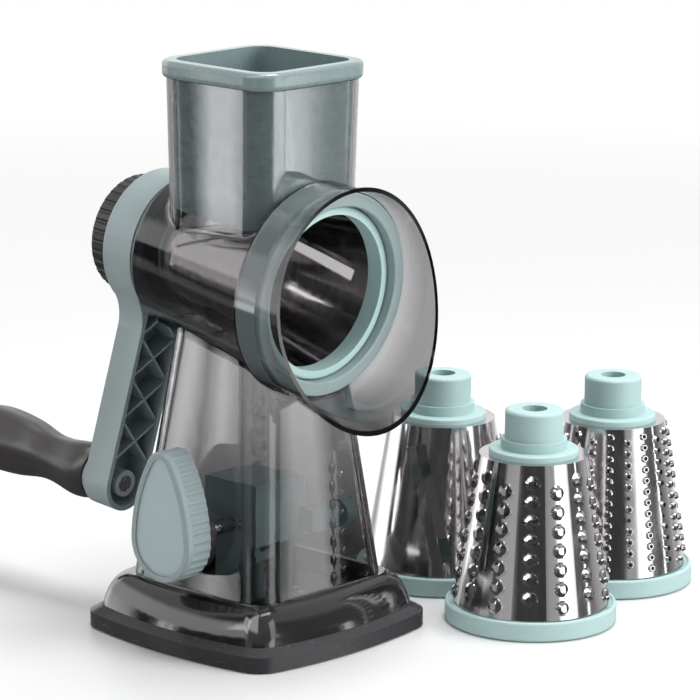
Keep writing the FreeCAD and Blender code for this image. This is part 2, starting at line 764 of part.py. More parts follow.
def bladed_shell():
    """Long slots, each with its trailing edge bent up into a blade."""
    shell = plain_shell()
    reach = 2 * drum_large_radius
    raised = steel_solid(blade_lift + blade_sheet).cut(steel_solid(blade_lift))
    riser = steel_solid(blade_lift + blade_sheet).cut(steel_solid(-drum_sheet / 2))
    for index in range(slot_count):
        turn = FreeCAD.Rotation(V(0, 0, 1), index * 360.0 / slot_count)
        lean = FreeCAD.Rotation(V(1, 0, 0), slot_slant)
        place = FreeCAD.Placement(V(0, 0, drum_steel_top - drum_steel_length / 2), turn.multiply(lean))

        def strip(y_low, y_high):
            bar = Part.makeBox(reach, y_high - y_low, slot_length, V(0, y_low, -slot_length / 2))
            bar.Placement = place
            return bar

        edge = -slot_width / 2
        slot = strip(edge, -edge)
        blade = strip(edge, edge + blade_width)
        heel = strip(edge - blade_sheet, edge)
        shell = shell.cut(slot)
        shell = shell.fuse(raised.common(blade)).fuse(riser.common(heel))
    return shell.removeSplitter()


def drum_rim():
    """The moulded ring at the wide end, with a groove for the steel."""
    bore = drum_rim_radius - drum_rim_wall
    body = ring(drum_rim_radius, bore - drum_rim_lip, 0, drum_rim_height)
    body = round_edges(body, drum_rim_round, lambda edge: edge.BoundBox.XLength > 2 * bore + drum_rim_wall)
    groove = steel_solid(0).cut(steel_solid(-drum_sheet))
    step = ring(drum_rim_radius - drum_rim_step_width, bore - drum_rim_lip,
                drum_rim_height - drum_rim_step, drum_rim_step)
    return body.cut(groove).cut(step)


def drum_hub():
    """Flange, step and hub, bored for the stud of the lock nut."""
    seat = Part.makeCylinder(drum_flange_radius - drum_cap_width, drum_cap_thickness,
                             V(0, 0, drum_steel_top - drum_cap_thickness))
    flange = Part.makeCylinder(drum_flange_radius, drum_flange_thickness, V(0, 0, drum_steel_top))
    step_bottom = drum_steel_top + drum_flange_thickness
    step = Part.makeCylinder(drum_step_radius, drum_step_length, V(0, 0, step_bottom))
    hub_bottom = step_bottom + drum_step_length
    hub = Part.makeCylinder(drum_hub_radius, drum_hub_length, V(0, 0, hub_bottom))
    hub = round_edges(hub, drum_hub_round, lambda edge: abs(edge.CenterOfMass.z - drum_length) < tiny)
    flange = round_edges(flange, drum_flange_round, lambda edge: edge.CenterOfMass.z > step_bottom - tiny)
    bore_depth = stud_reach + drum_bore_margin
    bore = Part.makeCylinder(stud_radius + stud_gap, bore_depth, V(0, 0, drum_length - bore_depth))
    return seat.fuse(flange).fuse(step).fuse(hub).cut(bore).removeSplitter()


def stand(shape, place):
    """Stands a drum on the table beside the foot."""
    x, y, turn = place
    placed = shape.copy()
    placed.Placement = FreeCAD.Placement(V(x, y, 0), FreeCAD.Rotation(V(0, 0, 1), turn))
    return placed


# ---- Crank: made with its shaft on +Z, arm down -Y ----
def head_outline(radius, width, length, neck):
    """The crank's outline: a round head, a concave neck and a round-ended arm."""
    half = width / 2
    centre_y = -math.sqrt((radius + neck) ** 2 - (half + neck) ** 2)
    share = radius / (radius + neck)
    touch = V((half + neck) * share, centre_y * share, 0)
    joint = V(half, centre_y, 0)
    neck_centre = V(half + neck, centre_y, 0)
    middle_way = ((touch - neck_centre).normalize() + (joint - neck_centre).normalize()).normalize()
    neck_middle = neck_centre + middle_way * neck

    def mirror(point):
        return V(-point.x, point.y, point.z)

    return Part.Wire([
        arc(mirror(touch), V(0, radius, 0), touch),
        arc(touch, neck_middle, joint),
        Part.LineSegment(joint, V(half, -length, 0)).toShape(),
        arc(V(half, -length, 0), V(0, -length - half, 0), V(-half, -length, 0)),
        Part.LineSegment(V(-half, -length, 0), mirror(joint)).toShape(),
        arc(mirror(joint), mirror(neck_middle), mirror(touch))])


def truss():
    """Crossed ribs down the hollow of the arm."""
    height = arm_pocket_depth - truss_drop
    half = arm_width / 2 - arm_wall / 2
    start = arm_length - grip_boss_radius - truss_bays * truss_bay
    ribs = []
    for bay in range(truss_bays):
        top = -(start + bay * truss_bay)
        for side in (-1, 1):
            a = V(side * half, top, 0)
            b = V(-side * half, top - truss_bay, 0)
            along = (b - a).normalize()
            across = V(-along.y, along.x, 0) * (truss_rib / 2)
            outline = Part.makePolygon([a + across, b + across, b - across, a - across, a + across])
            ribs.append(Part.Face(outline).extrude(V(0, 0, height)))
    return ribs


def crank_arm():
    """Head, hollow arm with its truss, and the boss for the grip's spindle."""
    arm_face = arm_front_setback
    outline = Part.Face(head_outline(head_radius, arm_width, arm_length, arm_neck_fillet))
    slab = outline.extrude(V(0, 0, arm_depth))
    slab.translate(V(0, 0, arm_face))
    head = Part.makeCylinder(head_radius, head_thickness)
    head = round_edges(head, head_edge_round, lambda edge: edge.CenterOfMass.z > head_thickness - tiny)
    body = head.fuse(slab)
    half = arm_width / 2 - arm_wall
    pocket_top = math.sqrt((head_radius + arm_pocket_margin) ** 2 - half ** 2)
    pocket_outline = Part.Wire([
        Part.LineSegment(V(-half, -pocket_top, 0), V(half, -pocket_top, 0)).toShape(),
        Part.LineSegment(V(half, -pocket_top, 0), V(half, -arm_length, 0)).toShape(),
        arc(V(half, -arm_length, 0), V(0, -arm_length - half, 0), V(-half, -arm_length, 0)),
        Part.LineSegment(V(-half, -arm_length, 0), V(-half, -pocket_top, 0)).toShape()])
    pocket = Part.Face(pocket_outline).extrude(V(0, 0, arm_pocket_depth))
    pocket.translate(V(0, 0, arm_face))
    body = body.cut(pocket)
    floor = arm_face + truss_drop
    for rib in truss():
        rib.translate(V(0, 0, floor))
        body = body.fuse(rib.common(pocket))
    inner_boss = Part.makeCylinder(spindle_head_radius, arm_depth - spindle_seat,
                                   V(0, -arm_length, arm_face + spindle_seat))
    outer_boss = Part.makeCylinder(grip_boss_radius, grip_boss_height, V(0, -arm_length, arm_face + arm_depth))
    body = body.fuse(inner_boss).fuse(outer_boss)
    body = body.cut(Part.makeCylinder(spindle_radius, 2 * head_thickness, V(0, -arm_length, arm_face)))
    body = body.cut(Part.makeCylinder(journal_radius, head_thickness))
    recess_start = head_thickness - head_recess_depth
    body = body.cut(Part.makeCylinder(head_recess_radius, head_thickness, V(0, 0, recess_start)))
    return behind_axis(body.removeSplitter(), rear_face_station, arm_lean)


def hub_station(height):
    """Station of a height on the fitted drum."""
    return drum_mouth_station - height


def crank_socket():
    """The sleeve on the crank that turns in the bush and drives the drum's hub."""
    rear = rear_face_station - head_thickness + head_recess_depth
    return on_axis(ring(journal_radius, drum_hub_radius + socket_bore_gap, rear, socket_front_station - rear))


def lock_nut():
    """The ribbed black nut behind the crank head."""
    body = Part.makeCylinder(nut_radius, nut_thickness)
    body = round_edges(body, nut_edge_round, lambda edge: edge.CenterOfMass.z > nut_thickness - tiny)
    body = body.cut(Part.makeCylinder(nut_dish_radius, nut_dish_depth, V(0, 0, nut_thickness - nut_dish_depth)))
    flutes = []
    for index in range(nut_ribs):
        turn = math.radians(index * 360.0 / nut_ribs)
        place = V(math.cos(turn), math.sin(turn), 0) * (nut_radius - nut_rib_inset)
        flutes.append(Part.makeCylinder(nut_rib_radius, nut_thickness, place))
    body = body.cut(Part.makeCompound(flutes))
    body = body.fuse(Part.makeCylinder(nut_boss_radius, head_recess_depth, V(0, 0, -head_recess_depth)))
    stud_length = head_recess_depth + nut_thickness - nut_dish_depth - stud_head_thickness
    body = body.cut(Part.makeCylinder(stud_radius, stud_length, V(0, 0, -head_recess_depth)))
    return behind_axis(body, nut_station())


def nut_station():
    return rear_face_station - head_thickness - nut_gap


def lock_stud():
    """The stud that joins the nut to the drum's hub through the crank."""
    tip = hub_station(drum_length) + stud_reach
    tail = nut_station() - (nut_thickness - nut_dish_depth - stud_head_thickness)
    return on_axis(cone(stud_radius, stud_radius, tail, tip - tail))


# ---- Grip: made about +Z, starting at the arm's boss ----
def grip_start_station():
    return rear_face_station - arm_front_setback - arm_depth - grip_boss_height - grip_gap


def at_grip(shape, station):
    """Places a shape made about +Z on the grip's axis, its +Z away from the body."""
    lowered = shape.copy()
    lowered.translate(V(0, -arm_length, 0))
    return behind_axis(lowered, station, arm_lean)


def grip_section(height, radius, flatness):
    """A rounded six-sided outline."""
    points = []
    count = 24
    for index in range(count):
        turn = 2 * math.pi * index / count
        reach = radius * (1 - flatness * (1 - math.cos(6 * turn)) / 2)
        points.append(V(reach * math.cos(turn), reach * math.sin(turn), height))
    curve = Part.BSplineCurve()
    curve.interpolate(Points=points, PeriodicFlag=True)
    return Part.Wire([curve.toShape()])


def grip():
    sections = [
        grip_section(0, grip_start_radius - grip_edge_round, 0),
        grip_section(grip_collar_place, grip_start_radius, grip_collar_facet),
        grip_section(grip_waist_place, grip_waist_radius, grip_waist_facet),
        grip_section(grip_middle_place, (grip_waist_radius + grip_swell_radius) / 2, grip_waist_facet),
        grip_section(grip_swell_place, grip_swell_radius, grip_waist_facet),
        grip_section(grip_end_place, grip_end_radius, grip_collar_facet),
        grip_section(grip_length, grip_end_radius - grip_end_setback, 0)]
    body = Part.makeLoft(sections, True, False)
    cap_start = grip_length - grip_cap_thickness
    head_start = cap_start - spindle_head_thickness - grip_gap
    bore = Part.makeCylinder(spindle_radius + spindle_gap, grip_length)
    head_room = Part.makeCylinder(spindle_head_radius + grip_gap, grip_length, V(0, 0, head_start))
    cap_room = Part.makeCylinder(grip_cap_radius, grip_length, V(0, 0, cap_start))
    return at_grip(body.cut(bore).cut(head_room).cut(cap_room), grip_start_station())


def grip_cap():
    cap_start = grip_length - grip_cap_thickness
    cap = Part.makeCylinder(grip_cap_radius, grip_cap_thickness + grip_cap_crown, V(0, 0, cap_start))
    cap = round_edges(cap, grip_cap_crown, lambda edge: edge.CenterOfMass.z > grip_length)
    return at_grip(cap, grip_start_station())


def grip_spindle():
    """The steel pin that is fixed in the arm and carries the grip."""
    inner = -(grip_boss_height + grip_gap + arm_depth - spindle_seat)
    head_start = grip_length - grip_cap_thickness - spindle_head_thickness - grip_gap / 2
    rod = Part.makeCylinder(spindle_radius, head_start - inner, V(0, 0, inner))
    head = Part.makeCylinder(spindle_head_radius, spindle_head_thickness - grip_gap, V(0, 0, head_start))
    return at_grip(rod.fuse(head), grip_start_station())


# ---- Suction knob, cam shaft and bracket ----
def knob_wire(offset):
    """The knob's egg in the YZ plane about the shaft, narrow end up, shrunk by offset."""
    big = knob_width / 2 - offset
    small = knob_tip_radius - offset
    rise = knob_height - knob_width / 2 - knob_tip_radius
    side = knob_side_radius - offset
    # the centre of the flank that touches both circles from outside them
    to_big = side - big
    to_small = side - small
    along = (to_big ** 2 - to_small ** 2 + rise ** 2) / (2 * rise)
    away = math.sqrt(to_big ** 2 - along ** 2)
    centre = V(0, -away, along)
    low = centre + (V(0, 0, 0) - centre).normalize() * side
    high = centre + (V(0, 0, rise) - centre).normalize() * side
    middle = centre + ((low - centre) + (high - centre)).normalize() * side

    def mirror(point):
        return V(point.x, -point.y, point.z)

    return Part.Wire([
        arc(low, middle, high),
        arc(high, V(0, 0, rise + small), mirror(high)),
        arc(mirror(high), mirror(middle), mirror(low)),
        arc(mirror(low), V(0, 0, -big), low)])


def knob_slab(offset, x_low, x_high):
    outline = knob_wire(offset)
    outline.translate(V(x_low, 0, shaft_height))
    return Part.Face(outline).extrude(V(x_high - x_low, 0, 0))


def lever_knob():
    front = -knob_rear - knob_thickness
    body = knob_slab(0, front, -knob_rear)
    body = round_edges(body, knob_edge_round, lambda edge: edge.BoundBox.XLength < tiny)
    centres = knob_wire(knob_flute_depth - knob_flute_radius)
    centres.translate(V(front + knob_flute_margin, 0, shaft_height))
    count = int(centres.Length / knob_flute_pitch)
    body = body.cut(Part.makeCompound([
        Part.makeCylinder(knob_flute_radius, knob_thickness, point, V(1, 0, 0))
        for point in centres.discretize(Number=count + 1)[:-1]]))
    body = body.cut(knob_slab(knob_rim_width, front, front + knob_recess + knob_face_sheet))
    bore_end = -knob_rear - knob_shaft_depth
    return body.cut(along_x(shaft_radius, bore_end, knob_shaft_depth, 0, shaft_height))


def lever_face():
    front = -knob_rear - knob_thickness + knob_recess
    return knob_slab(knob_rim_width, front, front + knob_face_sheet)


def cam_shaft():
    end = bracket_right - bracket_end_margin
    start = -knob_rear - knob_shaft_depth
    return along_x(shaft_radius, start, end - start, 0, shaft_height)


def cam():
    """A spiral cam whose rise is in step with the knob's turn."""
    rate = cam_rise / math.radians(cam_turn)
    count = 72
    points = []
    for index in range(count):
        # measured from straight up, against the way the cam turns
        turn = 360.0 * index / count - cam_margin
        spiral_end = cam_turn + cam_margin
        if turn <= spiral_end:
            radius = cam_radius + rate * math.radians(turn)
        else:
            back = (turn - spiral_end) / (360.0 - cam_margin - spiral_end)
            top_radius = cam_radius + rate * math.radians(spiral_end)
            low_radius = cam_radius - rate * math.radians(cam_margin)
            ease = (1 + math.cos(math.pi * back)) / 2
            radius = low_radius + (top_radius - low_radius) * ease
        angle = math.radians(turn)
        points.append(V(-cam_thickness / 2, -radius * math.sin(angle), shaft_height + radius * math.cos(angle)))
    curve = Part.BSplineCurve()
    curve.interpolate(Points=points, PeriodicFlag=True)
    disc = Part.Face(Part.Wire([curve.toShape()])).extrude(V(cam_thickness, 0, 0))
    return disc.cut(along_x(shaft_radius, -cam_thickness, 2 * cam_thickness, 0, shaft_height))


def shaft_collar():
    """The dark round collar on the column's wall that carries the shaft."""
    wall_at_rim = column_half(shaft_height - collar_flange_radius)
    start = -knob_rear + collar_gap
    flange = along_x(collar_flange_radius, start, knob_rear - collar_gap - wall_at_rim - collar_gap, 0, shaft_height)
    spigot_length = knob_rear - collar_gap - column_half(shaft_height) + column_wall + collar_spigot_margin
    spigot = along_x(collar_spigot_radius, start, spigot_length, 0, shaft_height)
    bore = along_x(shaft_radius + shaft_gap, -2 * knob_rear, 2 * knob_rear, 0, shaft_height)
    return flange.fuse(spigot).cut(bore)


def bracket_screw_places():
    offset = bracket_leg_depth / 2 - screw_head_radius - bracket_screw_margin
    return [(x, sign * offset)
            for x in (bracket_left - bracket_foot_length / 2, bracket_right + bracket_foot_length / 2)
            for sign in (-1, 1)]


def lever_bracket():
    """The frame inside the column: a box open below on two legs, and an arm to the wall."""
    half = bracket_depth / 2
    leg = bracket_leg_depth / 2
    wall = bracket_wall
    box = block(bracket_left, bracket_right, -half, half, bracket_bottom, bracket_top)
    room = block(bracket_left + wall, bracket_right - wall, -half + wall, half - wall,
                 bracket_bottom, bracket_top - wall)
    body = box.cut(room)
    for x_low, foot_low in ((bracket_left, bracket_left - bracket_foot_length),
                            (bracket_right - wall, bracket_right)):
        body = body.fuse(block(x_low, x_low + wall, -leg, leg, plate_top, bracket_bottom))
        body = body.fuse(block(foot_low, foot_low + bracket_foot_length, -leg, leg, plate_top, plate_top + wall))
    arm_low = shaft_height - bracket_arm_height / 2
    arm_high = shaft_height + bracket_arm_height / 2
    boss_end = column_half(shaft_height) - column_wall - bracket_wall_gap
    arm_front = bracket_arm_offset - bracket_arm_depth / 2
    arm_back = bracket_arm_offset + bracket_arm_depth / 2
    body = body.fuse(block(bracket_right - wall, boss_end - wall_boss_length / 2, arm_front, arm_back,
                           arm_low, arm_high))
    body = body.fuse(block(bracket_right - wall, bracket_right, arm_front, -half + wall, arm_low, arm_high))
    body = body.fuse(along_x(wall_boss_radius, boss_end - wall_boss_length, wall_boss_length,
                             bracket_arm_offset, shaft_height))
    bore = shaft_radius + shaft_gap
    body = body.cut(along_x(bore, bracket_left, bracket_right - bracket_left, 0, shaft_height))
    body = body.cut(along_x(screw_radius, boss_end - wall_screw_depth, wall_screw_depth,
                            bracket_arm_offset, shaft_height))
    for x, y in bracket_screw_places():
        body = body.cut(Part.makeCylinder(screw_radius, wall, V(x, y, plate_top)))
    return body.removeSplitter()


def bracket_screws():
    """Four screws down into the plate, and one through the column's wall."""
    screws = []
    for x, y in bracket_screw_places():
        top = plate_top + bracket_wall
        head = Part.makeCylinder(screw_head_radius, screw_head_height, V(x, y, top))
        shank = Part.makeCylinder(screw_radius, bracket_wall + base_plate_thickness, V(x, y, base_plate_bottom))
        screws.append(head.fuse(shank))
    outside = column_half(shaft_height - screw_head_radius) + screw_head_gap
    inside = column_half(shaft_height) - column_wall - bracket_wall_gap - wall_screw_depth
    head = along_x(screw_head_radius, outside, screw_head_height, bracket_arm_offset, shaft_height)
    shank = along_x(screw_radius, inside, outside - inside, bracket_arm_offset, shaft_height)
    screws.append(head.fuse(shank))
    return Part.makeCompound(screws)


def follower_height():
    return shaft_height + cam_radius + follower_radius + follower_gap


def suction_stem():
    """The fork that straddles the cam and pulls the pad's centre up."""
    tine_x = cam_thickness / 2 + stem_side_gap
    half = stem_tine_width / 2
    top = follower_height() + follower_radius + stem_ear
    yoke_top = shaft_height - cam_radius - cam_rise - stem_yoke_gap
    body = Part.makeCylinder(stem_foot_radius, stem_foot_height, V(0, 0, stem_foot_bottom))
    body = body.fuse(Part.makeCylinder(stem_rod_radius, yoke_top - stem_foot_bottom, V(0, 0, stem_foot_bottom)))
    body = body.fuse(block(-tine_x - stem_tine_thickness, tine_x + stem_tine_thickness,
                           -half, half, yoke_top - stem_yoke_thickness, yoke_top))
    slot = shaft_radius + stem_slot_gap
    for x_low in (-tine_x - stem_tine_thickness, tine_x):
        tine = block(x_low, x_low + stem_tine_thickness, -half, half, yoke_top, top)
        window = along_x(slot, x_low, stem_tine_thickness, 0, shaft_height)
        window = window.fuse(along_x(slot, x_low, stem_tine_thickness, 0, shaft_height - cam_rise))
        window = window.fuse(block(x_low, x_low + stem_tine_thickness, -slot, slot,
                                   shaft_height - cam_rise, shaft_height))
        body = body.fuse(tine.cut(window))
    pin_hole = along_x(follower_radius, -2 * cam_thickness, 4 * cam_thickness, 0, follower_height())
    return body.cut(pin_hole).removeSplitter()


def stem_pin():
    reach = cam_thickness / 2 + stem_side_gap + stem_tine_thickness
    return along_x(follower_radius, -reach, 2 * reach, 0, follower_height())


# ---- Write one STEP per piece ----
def pieces():
    made = {
        "base_skirt": base_skirt(),
        "base_cover": base_cover(),
        "base_plate": base_plate(),
        "base_screws": base_screws(),
        "suction_pad": suction_pad(),
        "clear_body": clear_body(),
        "mouth_collar": mouth_collar(),
        "rear_bush": rear_bush(),
        "shaft_collar": shaft_collar(),
        "lever_bracket": lever_bracket(),
        "bracket_screws": bracket_screws(),
        "suction_stem": suction_stem(),
        "stem_pin": stem_pin(),
        "lever_knob": lever_knob(),
        "lever_face": lever_face(),
        "cam_shaft": cam_shaft(),
        "cam": cam(),
        "pusher": pusher(),
        "crank_arm": crank_arm(),
        "crank_socket": crank_socket(),
        "lock_nut": lock_nut(),
        "lock_stud": lock_stud(),
        "grip_spindle": grip_spindle(),
        "grip": grip(),
        "grip_cap": grip_cap(),
    }
    rim = drum_rim()
    hub = drum_hub()
    bladed = bladed_shell()
    shells = {
        "slicing_drum": bladed,
        "coarse_drum": coarse_shell(),
        "fine_drum": fine_shell(),
    }
    for name, place in spare_places.items():
        made[name + "_rim"] = stand(rim, place)
        made[name + "_shell"] = stand(shells[name], place)
        made[name + "_hub"] = stand(hub, place)
    for name, shape in (("rim", rim), ("shell", bladed), ("hub", hub)):
        made["fitted_drum_" + name] = behind_axis(shape, drum_mouth_station, fitted_drum_turn)
    return made


os.makedirs("parts", exist_ok=True)
for name, shape in pieces().items():
    shape.exportStep("parts/" + name + ".step")
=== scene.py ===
import json
import math

import bpy
from mathutils import Matrix, Vector


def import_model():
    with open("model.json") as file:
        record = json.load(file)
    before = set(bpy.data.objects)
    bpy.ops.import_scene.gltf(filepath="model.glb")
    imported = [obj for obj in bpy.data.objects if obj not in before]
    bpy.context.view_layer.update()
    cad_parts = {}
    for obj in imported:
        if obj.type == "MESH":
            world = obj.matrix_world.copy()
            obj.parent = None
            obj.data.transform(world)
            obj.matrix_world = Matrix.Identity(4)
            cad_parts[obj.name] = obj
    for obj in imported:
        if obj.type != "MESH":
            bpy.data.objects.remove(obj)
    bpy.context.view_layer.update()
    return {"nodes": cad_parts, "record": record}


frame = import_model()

nodes = frame["nodes"]

# ---- Colours, linear ----
SAGE_PUSHER = (0.185, 0.248, 0.252)
SAGE_COLLAR = (0.270, 0.345, 0.345)
SAGE_CRANK = (0.245, 0.300, 0.305)
SAGE_KNOB = (0.255, 0.310, 0.320)
SAGE_FACE = (0.335, 0.410, 0.420)
SAGE_DRUM = (0.390, 0.545, 0.535)
SAGE_BRACKET = (0.150, 0.210, 0.205)
NEAR_BLACK = (0.012, 0.012, 0.013)
WARM_GREY = (0.040, 0.036, 0.035)
STEEL = (0.60, 0.58, 0.59)

# ---- Plastic's surface: noise scales per metre, depths in metres ----
CLOUD_SCALE = 34.0
SCUFF_SCALE = 60.0
SCUFF_STRETCH = (1.0, 1.0, 9.0)
SCUFF_TURN = (0.5, 0.3, 0.2)
SCUFF_START = 0.60
SCUFF_FULL = 0.72
SCUFF_SHARE = 0.10
SCUFF_PALER = 1.5
SCUFF_ROUGHER = 0.10
RUBBED_PALER = 1.35
FINISH_SCALE = 150.0
FINISH_SPREAD = 0.05
GRAIN_SCALE = 2600.0
GRAIN_DEPTH = 0.0002
WAVE_SCALE = 45.0
WAVE_STRENGTH = 0.04
WAVE_DEPTH = 0.002
COAT_ROUGHNESS = 0.08

# ---- Sheet steel's surface ----
STREAK_DARKER = 0.86
STREAK_PALER = 1.12
STREAK_SMOOTHER = 0.04
STREAK_ROUGHER = 0.06
STREAK_STRENGTH = 0.06
STREAK_DEPTH = 0.0002
MARK_SCALE = 90.0
MARK_START = 0.55
MARK_FULL = 0.75
MARK_SHARE = 0.25
MARK_DARKER = 0.8
MARK_ROUGHER = 0.06

# ---- Clear smoked plastic; fades are heights and places in metres ----
SMOKE_TINT = (0.70, 0.69, 0.70)
SMOKE_IN_DEPTH = (0.10, 0.09, 0.10, 1.0)
SMOKE_DENSITY = 150.0
CLEAR_ROUGHNESS = 0.01
CLEAR_INDEX = 1.49
FLOW_SCALE = 26.0
FLOW_SPREAD = 0.02
HAIRLINE_SCALE = 80.0
HAIRLINE_STRETCH = (1.0, 1.0, 7.0)
HAIRLINE_TURN = (0.4, 0.2, 0.1)
HAIRLINE_START = 0.58
HAIRLINE_FULL = 0.75
HAIRLINE_ROUGHER = 0.04
HOOD_DARKER = 0.62
HOOD_FADE_START = -0.046
HOOD_FADE_END = -0.058
# Painted light: above the chute's fade height the tint is paler, so the pusher seen through the chute
# looks better lit than the lamps light it
CHUTE_PAINTED_LIGHT = 1.50
CHUTE_FADE_START = 0.200
CHUTE_FADE_END = 0.212

# The middle stretch of a noise, where nearly all its values lie
NOISE_LOW = 0.3
NOISE_HIGH = 0.7


# ---- Small helpers for node materials ----
class Graph:
    """A node tree with one-line calls."""

    def __init__(self, name):
        self.material = bpy.data.materials.new(name)
        self.material.use_nodes = True
        self.start(self.material.node_tree)

    @classmethod
    def on(cls, tree):
        graph = cls.__new__(cls)
        graph.start(tree)
        return graph

    def start(self, tree):
        self.tree = tree
        tree.nodes.clear()
        places = self.add("ShaderNodeTexCoord")
        self.coords = places.outputs["Object"]
        self.world_direction = places.outputs["Generated"]

    def add(self, kind, **settings):
        node = self.tree.nodes.new(kind)
        for key, value in settings.items():
            setattr(node, key, value)
        return node

    def link(self, source, target):
        self.tree.links.new(source, target)

    def stretched(self, scale, turn=(0, 0, 0)):
        node = self.add("ShaderNodeMapping")
        node.inputs["Scale"].default_value = scale
        node.inputs["Rotation"].default_value = turn
        self.link(self.coords, node.inputs["Vector"])
        return node.outputs["Vector"]

    def noise(self, scale, detail=3.0, vector=None, roughness=0.55):
        node = self.add("ShaderNodeTexNoise")
        node.inputs["Scale"].default_value = scale
        node.inputs["Detail"].default_value = detail
        node.inputs["Roughness"].default_value = roughness
        self.link(vector or self.coords, node.inputs["Vector"])
        return node.outputs["Fac"]

    def ramp(self, value, low, high, out_low=0.0, out_high=1.0):
        node = self.add("ShaderNodeMapRange")
        node.inputs["From Min"].default_value = low
        node.inputs["From Max"].default_value = high
        node.inputs["To Min"].default_value = out_low
        node.inputs["To Max"].default_value = out_high
        self.link(value, node.inputs["Value"])
        return node.outputs["Result"]

    def math(self, operation, a, b):
        node = self.add("ShaderNodeMath", operation=operation)
        for socket, value in zip(node.inputs, (a, b)):
            if isinstance(value, (int, float)):
                socket.default_value = value
            else:
                self.link(value, socket)
        return node.outputs["Value"]

    def mix_colour(self, share, a, b):
        node = self.add("ShaderNodeMix", data_type="RGBA")
        self.link(share, node.inputs["Factor"])
        for name, value in (("A", a), ("B", b)):
            socket = [s for s in node.inputs if s.name == name and s.type == "RGBA"][0]
            if isinstance(value, tuple):
                socket.default_value = (*value, 1.0)
            else:
                self.link(value, socket)
        return [s for s in node.outputs if s.type == "RGBA"][0]

    def bump(self, height, strength, distance, normal=None):
        node = self.add("ShaderNodeBump")
        node.inputs["Strength"].default_value = strength
        node.inputs["Distance"].default_value = distance
        self.link(height, node.inputs["Height"])
        if normal is not None:
            self.link(normal, node.inputs["Normal"])
        return node.outputs["Normal"]

    def mix_shader(self, share, a, b):
        node = self.add("ShaderNodeMixShader")
        self.link(share, node.inputs["Fac"])
        self.link(a, node.inputs[1])
        self.link(b, node.inputs[2])
        return node.outputs["Shader"]

    def background(self, colour, strength):
        node = self.add("ShaderNodeBackground")
        if isinstance(colour, tuple):
            node.inputs["Color"].default_value = (*colour, 1.0)
        else:
            self.link(colour, node.inputs["Color"])
        node.inputs["Strength"].default_value = strength
        return node.outputs["Background"]

    def edges(self, low=0.505, high=0.56):
        """Where the surface turns sharply outward, as rubbed edges do."""
        return self.ramp(self.add("ShaderNodeNewGeometry").outputs["Pointiness"], low, high)

    def output(self, shader, volume=None):
        node = self.add("ShaderNodeOutputMaterial")
        self.link(shader, node.inputs["Surface"])
        if volume is not None:
            self.link(volume, node.inputs["Volume"])
        return self.material


def shade(colour, factor):
    return tuple(min(1.0, channel * factor) for channel in colour)


def plastic(name, colour, roughness, coat=0.0, grain=0.06, mottle=0.07, rubbed=0.35, gloss=0.5):
    """Moulded plastic: faint cloudiness, spark-eroded grain, hairline scuffs and rubbed edges."""
    g = Graph(name)
    cloud = g.noise(CLOUD_SCALE, 2.0)
    tone = g.mix_colour(cloud, shade(colour, 1 - mottle), shade(colour, 1 + mottle))
    scuff_noise = g.noise(SCUFF_SCALE, 6.0, g.stretched(SCUFF_STRETCH, SCUFF_TURN))
    scuffs = g.ramp(scuff_noise, SCUFF_START, SCUFF_FULL)
    rub = g.math("MULTIPLY", g.edges(), rubbed)
    worn = g.mix_colour(rub, tone, shade(colour, RUBBED_PALER))
    worn = g.mix_colour(g.math("MULTIPLY", scuffs, SCUFF_SHARE), worn, shade(colour, SCUFF_PALER))
    shader = g.add("ShaderNodeBsdfPrincipled")
    g.link(worn, shader.inputs["Base Color"])
    rough = g.ramp(g.noise(FINISH_SCALE, 4.0), NOISE_LOW, NOISE_HIGH,
                   roughness - FINISH_SPREAD, roughness + FINISH_SPREAD)
    rough = g.math("ADD", rough, g.math("MULTIPLY", scuffs, SCUFF_ROUGHER))
    g.link(rough, shader.inputs["Roughness"])
    fine = g.bump(g.noise(GRAIN_SCALE, 2.0), grain, GRAIN_DEPTH)
    wave = g.bump(g.noise(WAVE_SCALE, 1.0), WAVE_STRENGTH, WAVE_DEPTH, fine)
    g.link(wave, shader.inputs["Normal"])
    shader.inputs["Specular IOR Level"].default_value = gloss
    shader.inputs["Coat Weight"].default_value = coat
    shader.inputs["Coat Roughness"].default_value = COAT_ROUGHNESS
    return g.output(shader.outputs["BSDF"])


def sheet_steel(name, colour, roughness, streak_scale, streak_stretch):
    """Polished sheet steel: rolling streaks, water marks and fine scratches."""
    g = Graph(name)
    streak = g.noise(streak_scale, 4.0, g.stretched(streak_stretch))
    marks = g.ramp(g.noise(MARK_SCALE, 5.0), MARK_START, MARK_FULL)
    tone = g.mix_colour(streak, shade(colour, STREAK_DARKER), shade(colour, STREAK_PALER))
    tone = g.mix_colour(g.math("MULTIPLY", marks, MARK_SHARE), tone, shade(colour, MARK_DARKER))
    shader = g.add("ShaderNodeBsdfPrincipled")
    g.link(tone, shader.inputs["Base Color"])
    shader.inputs["Metallic"].default_value = 1.0
    rough = g.ramp(streak, NOISE_LOW, NOISE_HIGH, roughness - STREAK_SMOOTHER, roughness + STREAK_ROUGHER)
    rough = g.math("ADD", rough, g.math("MULTIPLY", marks, MARK_ROUGHER))
    g.link(rough, shader.inputs["Roughness"])
    g.link(g.bump(streak, STREAK_STRENGTH, STREAK_DEPTH), shader.inputs["Normal"])
    return g.output(shader.outputs["BSDF"])


